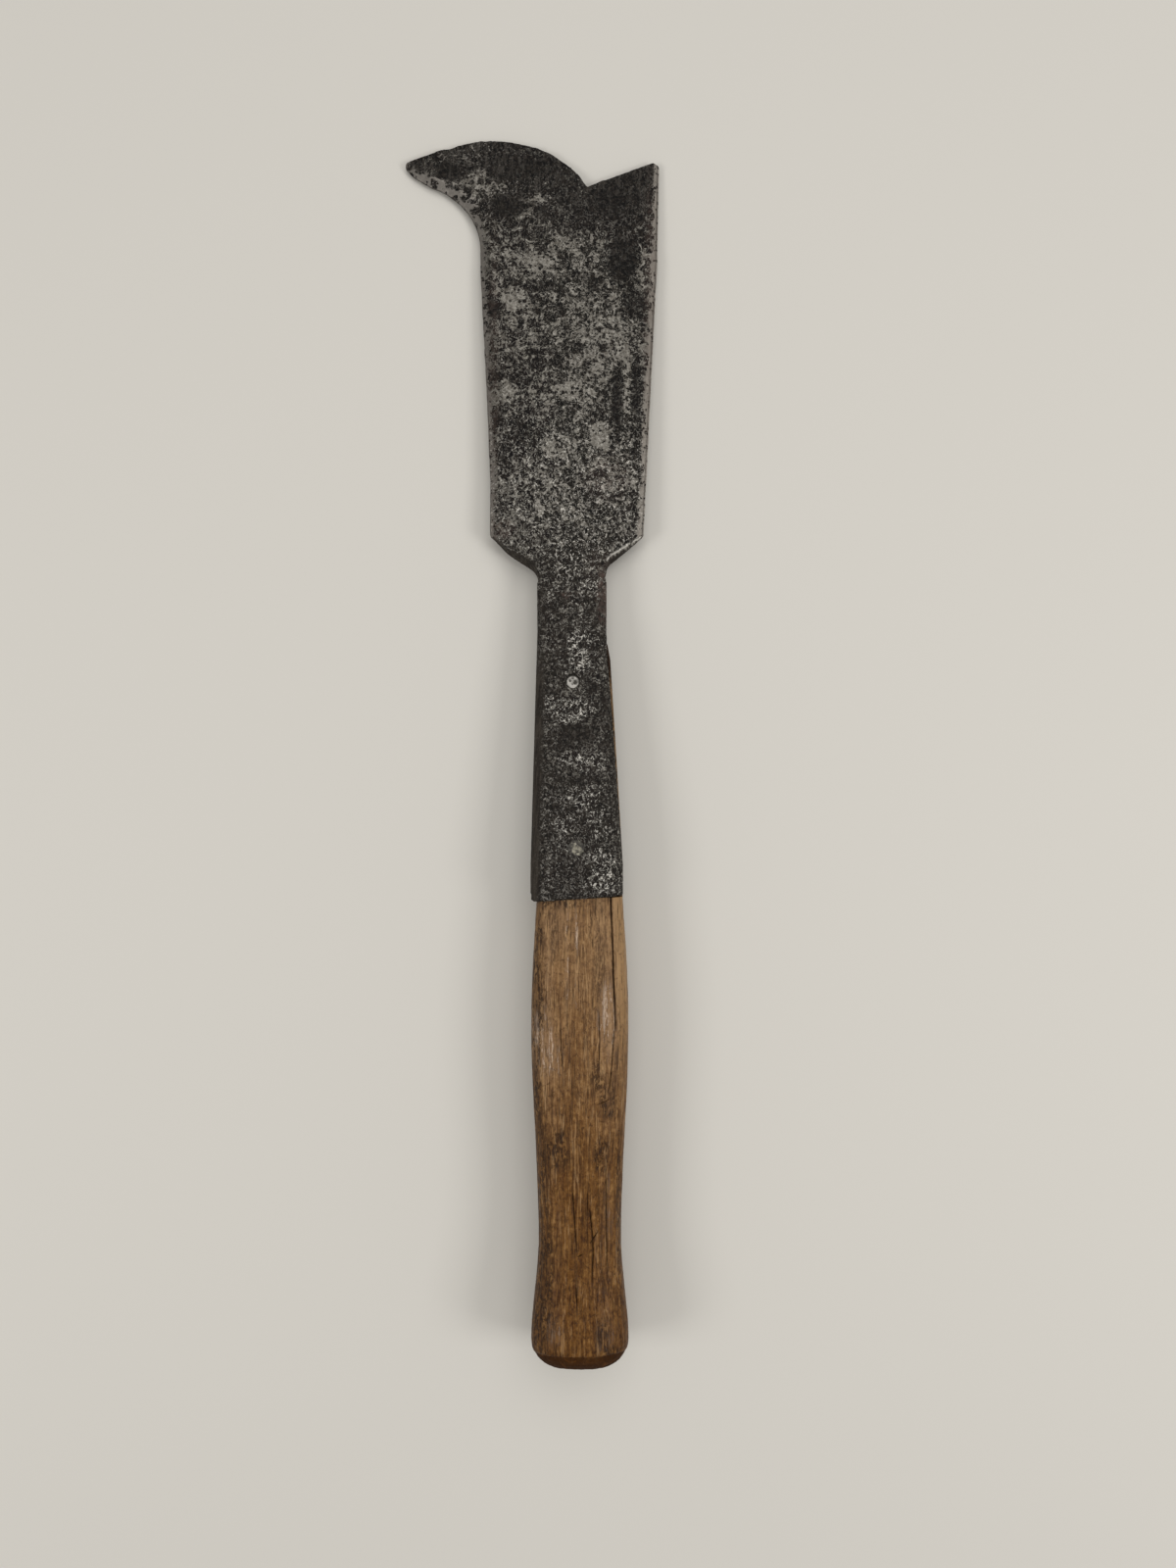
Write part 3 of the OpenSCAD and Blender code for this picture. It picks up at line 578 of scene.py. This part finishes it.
handle = copied("handle", "ash_handle")
low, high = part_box("handle")
cut_across((0, 1, 0), low.y, MOUTH_Y, WOOD_GRID)
cut_across((0, 1, 0), MOUTH_Y, high.y, WOOD_HIDDEN_GRID)
for turn in range(WOOD_TURNS):
    angle = math.pi * turn / WOOD_TURNS
    across = HANDLE_UP * math.cos(angle) - HANDLE_SIDE * math.sin(angle)
    bpy.ops.mesh.select_all(action="SELECT")
    bpy.ops.mesh.bisect(plane_co=BUTT_MIDDLE, plane_no=across)
for half_width, crack_depth, course in CRACKS:
    for (from_x, from_y), (to_x, to_y) in zip(course, course[1:]):
        start, stop = Vector((from_x, from_y, 0)) / 1000, Vector((to_x, to_y, 0)) / 1000
        way = (stop - start).normalized()
        beside = Vector((-way.y, way.x, 0))
        length = (stop - start).length
        select_faces(handle, lambda middle, facing: facing.z > 0.1
                     and abs((middle - start).dot(beside)) < 0.0014
                     and -0.001 < (middle - start).dot(way) < length + 0.001)
        bpy.ops.mesh.hide(unselected=True)
        for shift in (-half_width / 1000, 0, half_width / 1000):
            bpy.ops.mesh.select_all(action="SELECT")
            bpy.ops.mesh.bisect(plane_co=start + beside * shift, plane_no=beside)
        bpy.ops.mesh.reveal(select=False)
bpy.ops.object.mode_set(mode="OBJECT")

CRACK_X, CRACK_LEAN = 34.0, 0.042
numbers = {name: [] for name in ("stain_and_shade", "sheen", "fresh_and_lit", "crack_and_gap_shade", "end_grain_and_shade")}
depths = []
for vertex, facing in zip(handle.data.vertices, handle.data.vertex_normals):
    place, out = vertex.co, facing.vector
    x, y = place.x * 1000, place.y * 1000
    grain = noise.fractal(Vector((place.x * 800, place.y * 22, place.z * 800)), 0.7, 2.1, 3)
    depth = 0.10 + 0.11 * grain + 0.10 * noise.noise(place * 75 + Vector((3, 9, 2)))
    in_crack = 0
    if out.z > 0.1:
        for half_width, crack_depth, course in CRACKS:
            for (from_x, from_y), (to_x, to_y) in zip(course, course[1:]):
                along_x, along_y = to_x - from_x, to_y - from_y
                length = math.hypot(along_x, along_y)
                share = ((x - from_x) * along_x + (y - from_y) * along_y) / length / length
                share = min(1, max(0, share))
                away = math.hypot(x - from_x - along_x * share, y - from_y - along_y * share)
                ending = 1
                if (to_x, to_y) == course[-1]:
                    ending = 1 - 2 * max(0, share - 0.6)
                if (from_x, from_y) == course[0] and half_width < 0.365:
                    ending *= 0.2 + 0.8 * min(1, share / 0.4)
                in_crack = max(in_crack, max(0, 1 - away / half_width) * ending * crack_depth)
    hidden = y > MOUTH_Y * 1000 + 1.5
    up_butt = (place - BUTT_MIDDLE).dot(HANDLE_WAY) - BUTT_BAND_SLOPE * (place.z - BUTT_MIDDLE.z)
    up_butt = up_butt * 1000 + 0.9 * noise.noise(place * 90)
    at_end = 1 - smooth_step(BUTT_BAND - 0.5, BUTT_BAND + 0.2, up_butt)
    depths.append(0 if hidden else (max(0, depth + 0.3 * at_end) + in_crack) / 1000)
    # painted shade: the wood inside the socket is painted black from 18 mm up, where it shows in the seam's gap
    in_slit = smooth_step(18, 29, y) if hidden else 0
    numbers["crack_and_gap_shade"].append(max(in_slit, min(1, in_crack / 0.45)))
    # painted shade: the wood inside the socket, the sides turning away from above and the sides facing left are
    # darkened as stain
    side_and_socket_shade = 0.8 if hidden else max(0.16 * smooth_step(0.45, 0.05, out.z), 0.5 * smooth_step(-0.35, -0.75, out.x))
    numbers["stain_and_shade"].append(min(1, max(0, patches_at(STAINS_AND_EDGE_SHADE, x, y)) + side_and_socket_shade) if out.z > -0.2 else side_and_socket_shade)
    numbers["sheen"].append(min(1, max(0, patches_at(PAINTED_SHEEN, x, y))) if out.z > 0 else 0)
    # the flat past the crack is painted lighter, as fresher wood and as painted light on the lit right side
    past_crack = x - CRACK_X + (y - MOUTH_Y * 1000) * CRACK_LEAN
    numbers["fresh_and_lit"].append(smooth_step(0.2, 0.9, past_crack) * smooth_step(-155, -100, y) if out.z > 0.1 else 0)
    numbers["end_grain_and_shade"].append(at_end)
for name, values in numbers.items():
    keep_numbers(handle, name, values)
press_in(handle, depths, DEEPEST_GRAIN)
bpy.ops.object.shade_smooth_by_angle(angle=math.radians(50))

WOOD_LIGHT = (0.345, 0.210, 0.098, 1)
WOOD_PALE = (0.270, 0.150, 0.058, 1)
WOOD_MID = (0.150, 0.070, 0.0215, 1)
WOOD_DEEP = (0.068, 0.0265, 0.0070, 1)
WOOD_PORE = (0.016, 0.0062, 0.0020, 1)
HANDLED_PALE = (0.240, 0.122, 0.036, 1)
HANDLED_MID = (0.135, 0.059, 0.0135, 1)
HANDLED_DEEP = (0.060, 0.0215, 0.0045, 1)
WOOD_GREYED = (0.245, 0.160, 0.092, 1)
SHEEN_PALE = (0.310, 0.205, 0.125, 1)
SHEEN_WHITE = (0.560, 0.415, 0.300, 1)
DIRT_AND_SHADE = (0.024, 0.0140, 0.0095, 1)
END_BROWN = (0.034, 0.0105, 0.0006, 1)
END_RED = (0.085, 0.030, 0.004, 1)
PITH_X, PITH_Z, RING_WIDTH = -0.030, -0.055, 0.0046

wood = Surface("worn_ash")
turned = wood.add("ShaderNodeMapping", vector_type="TEXTURE")
wood.feed(turned.inputs["Vector"], wood.place)
turned.inputs["Rotation"].default_value = (-HANDLE_TILT, 0, 0)
turned.inputs["Location"].default_value = BUTT_MIDDLE


def grain_stretch(*scale):
    return wood.stretched(scale, turned.outputs[0])


split = wood.add("ShaderNodeSeparateXYZ")
wood.feed(split.inputs[0], turned.outputs[0])
sway = wood.between(wood.noise(1, 3, 0.5, 0, grain_stretch(60, 14, 60)), 0.2, 0.8, -0.0022, 0.0022)
pith_x = wood.math("SUBTRACT", split.outputs[0], PITH_X)
pith_z = wood.math("SUBTRACT", split.outputs[2], PITH_Z)
from_pith = wood.math("SQRT", wood.math("ADD", wood.times(pith_x, pith_x), wood.times(pith_z, pith_z)))
ring = wood.math("FRACT", wood.math("DIVIDE", wood.math("ADD", from_pith, sway), RING_WIDTH))
early = wood.between(wood.math("ABSOLUTE", wood.math("SUBTRACT", ring, 0.5)), 0.12, 0.42, 1.0, 0.0)
fibre = wood.noise(1, 3, 0.80, 0.1, grain_stretch(900, 58, 900))
streak = wood.noise(1, 3, 0.75, 0.2, grain_stretch(330, 20, 330))
tone = wood.noise(1, 3, 0.55, 0, grain_stretch(95, 16, 95))
cross = wood.noise(1, 3, 0.8, 0.3, grain_stretch(600, 380, 600))
breaks = wood.noise(1, 3, 0.7, 0, grain_stretch(260, 34, 260))

distance, chance, _ = wood.cells(1, grain_stretch(950, 80, 950))
pore = wood.between(distance, 0.18, 0.30, 1.0, 0.0)
pore = wood.times(pore, wood.math("LESS_THAN", chance, wood.math("MULTIPLY_ADD", early, 0.08, 0.20)), 0.65)
fine_line = wood.times(wood.lines(0.034, 1, 2, 0.6, 0.25, grain_stretch(620, 19, 620)),
                       wood.between(fibre, 0.46, 0.54), 0.45)
long_line = wood.times(wood.lines(0.018, 1, 2, 0.6, 0.25, grain_stretch(300, 10, 300)),
                       wood.between(breaks, 0.47, 0.54), 0.55)
light_line = wood.times(wood.lines(0.030, 1, 2, 0.6, 0.3, grain_stretch(540, 17, 540)),
                        wood.between(breaks, 0.50, 0.44), wood.between(split.outputs[1], 0.05, 0.14, 0.40, 0.75))
crack_distance, _, _ = wood.cells(1, grain_stretch(300, 170, 300), "DISTANCE_TO_EDGE")
checked = wood.times(wood.between(crack_distance, 0.015, 0.060, 1.0, 0.0), wood.between(cross, 0.48, 0.58), 0.42)
stained_and_shaded = wood.attribute("stain_and_shade")
ragged = wood.times(wood.lines(0.060, 1, 3, 0.75, 0.15, grain_stretch(460, 55, 460)), wood.between(cross, 0.42, 0.50),
                    wood.between(stained_and_shaded, 0.12, 0.55), 0.85)

grade = wood.math("MULTIPLY_ADD", early, 0.03, 0.27)
grade = wood.math("ADD", grade, wood.between(streak, 0.25, 0.75, -0.09, 0.09))
grade = wood.math("ADD", grade, wood.between(fibre, 0.25, 0.75, -0.27, 0.27))
grade = wood.math("ADD", grade, wood.between(tone, 0.25, 0.75, -0.04, 0.05))
grade = wood.math("ADD", grade, wood.between(cross, 0.25, 0.75, -0.33, 0.33))
grade = wood.math("ADD", grade, wood.between(split.outputs[1], 0.0, 0.17, 0.20, -0.01))
colour = wood.ramp(grade, (0.02, WOOD_PALE), (0.32, WOOD_MID), (0.70, WOOD_DEEP), (1.0, WOOD_PORE))
handled = wood.ramp(grade, (0.02, HANDLED_PALE), (0.32, HANDLED_MID), (0.70, HANDLED_DEEP), (1.0, WOOD_PORE))
colour = wood.mixed(wood.between(split.outputs[1], 0.075, 0.125, 0.85, 0.0), colour, handled)
near_mouth = wood.between(split.outputs[1], 0.085, 0.185)
near_mouth = wood.times(near_mouth, wood.between(tone, 0.35, 0.62, 0.42, 0.18))
colour = wood.mixed(near_mouth, colour, WOOD_GREYED)
colour = wood.mixed(light_line, colour, WOOD_LIGHT)
sheen = wood.attribute("sheen")
sheen_streaks = wood.math("ADD", wood.times(fibre, 0.7), wood.times(cross, 0.3))
# fresher wood and painted light on the flat past the crack
colour = wood.mixed(wood.times(wood.attribute("fresh_and_lit"), 0.60), colour, WOOD_LIGHT)
# painted highlight: pale and whitish streaks laid on the varnish's sheen patches
colour = wood.mixed(wood.times(sheen, wood.between(streak, 0.35, 0.60, 0.05, 0.34)), colour, SHEEN_PALE)
shine = wood.times(wood.between(sheen, 0.1, 0.7), wood.between(sheen_streaks, 0.530, 0.575), 0.80)
colour = wood.mixed(shine, colour, SHEEN_WHITE)
thin_marks = wood.most(pore, fine_line, long_line, checked, ragged)
colour = wood.mixed(thin_marks, colour, WOOD_PORE)
# painted shade: the dirt colour is also laid on the handle's sides, its left side and the wood inside the socket
dirt_and_shade = wood.times(stained_and_shaded, wood.between(streak, 0.3, 0.62, 0.10, 1.1), 0.30)
colour = wood.mixed(wood.math("MINIMUM", dirt_and_shade, 0.85), colour, DIRT_AND_SHADE)
# the end of the butt, painted dark brown and red: end grain, and painted shade on the bevel that turns away from the
# light
end_colour = wood.mixed(wood.between(wood.noise(150, 3, 0.7, 0.5), 0.52, 0.66), END_BROWN, END_RED)
colour = wood.mixed(wood.times(wood.attribute("end_grain_and_shade"), wood.between(cross, 0.35, 0.65, 0.98, 0.76)), colour,
                    end_colour)
# real cracks, and painted shade in the seam's gap, take the pore colour
colour = wood.mixed(wood.times(wood.attribute("crack_and_gap_shade"), 0.95), colour, WOOD_PORE)
wood.feed(wood.shader.inputs["Base Color"], colour)
at_end = wood.attribute("end_grain_and_shade")
rough = wood.math("MAXIMUM", wood.between(streak, 0.3, 0.7, 0.30, 0.55), wood.times(at_end, 0.8))
wood.feed(wood.shader.inputs["Roughness"], rough)
wood.shader.inputs["Specular IOR Level"].default_value = 0.11
height = wood.math("MULTIPLY_ADD", fibre, 0.5, wood.times(streak, 0.6))
wood.bump(wood.math("MULTIPLY_ADD", thin_marks, -0.8, height), 0.0004, 0.8)
handle.data.materials.append(wood.material)
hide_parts("handle")
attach(handle, "root")


# The bench it lies on, the studio's lamps, and the camera, which looks straight down from above the neck.

FLOOR_SIZE = 6
FLOOR_PAINT = (0.60, 0.575, 0.525, 1)
CAMERA_PLACE = (0.02448, -0.01942, 0.520)
FOCAL_MM = 27.05
SENSOR_MM = 36

bpy.ops.object.select_all(action="DESELECT")
bpy.ops.mesh.primitive_plane_add(size=FLOOR_SIZE, location=(0, 0, 0))
floor = bpy.context.object
floor.name = "bench_top"
paint = Surface("pale_paint")
paint.shader.inputs["Base Color"].default_value = FLOOR_PAINT
paint.shader.inputs["Roughness"].default_value = 0.75
floor.data.materials.append(paint.material)

for name, place, energy, size in (
    ("lamp_left", (-0.95, -0.28, 0.95), 5, 0.45),
    ("lamp_right", (1.0, -0.28, 0.95), 6, 0.45),
    ("lamp_top", (0.25, 0.9, 1.7), 13, 1.5),
):
    lamp = bpy.data.objects.new(name, bpy.data.lights.new(name, "AREA"))
    lamp.data.energy = energy
    lamp.data.size = size
    lamp.location = place
    lamp.rotation_euler = (-lamp.location).to_track_quat("-Z", "Y").to_euler()
    bpy.context.scene.collection.objects.link(lamp)

world = bpy.data.worlds.new("studio")
world.use_nodes = True
world.node_tree.nodes["Background"].inputs["Color"].default_value = (1, 0.985, 0.96, 1)
world.node_tree.nodes["Background"].inputs["Strength"].default_value = 0.42
bpy.context.scene.world = world
bpy.context.scene.view_settings.view_transform = "Standard"

camera = bpy.data.objects.new("camera", bpy.data.cameras.new("camera"))
camera.data.sensor_fit = "VERTICAL"
camera.data.sensor_height = SENSOR_MM
camera.data.lens = FOCAL_MM
camera.location = CAMERA_PLACE
camera.data.clip_start = 0.01
bpy.context.scene.collection.objects.link(camera)
bpy.context.scene.camera = camera
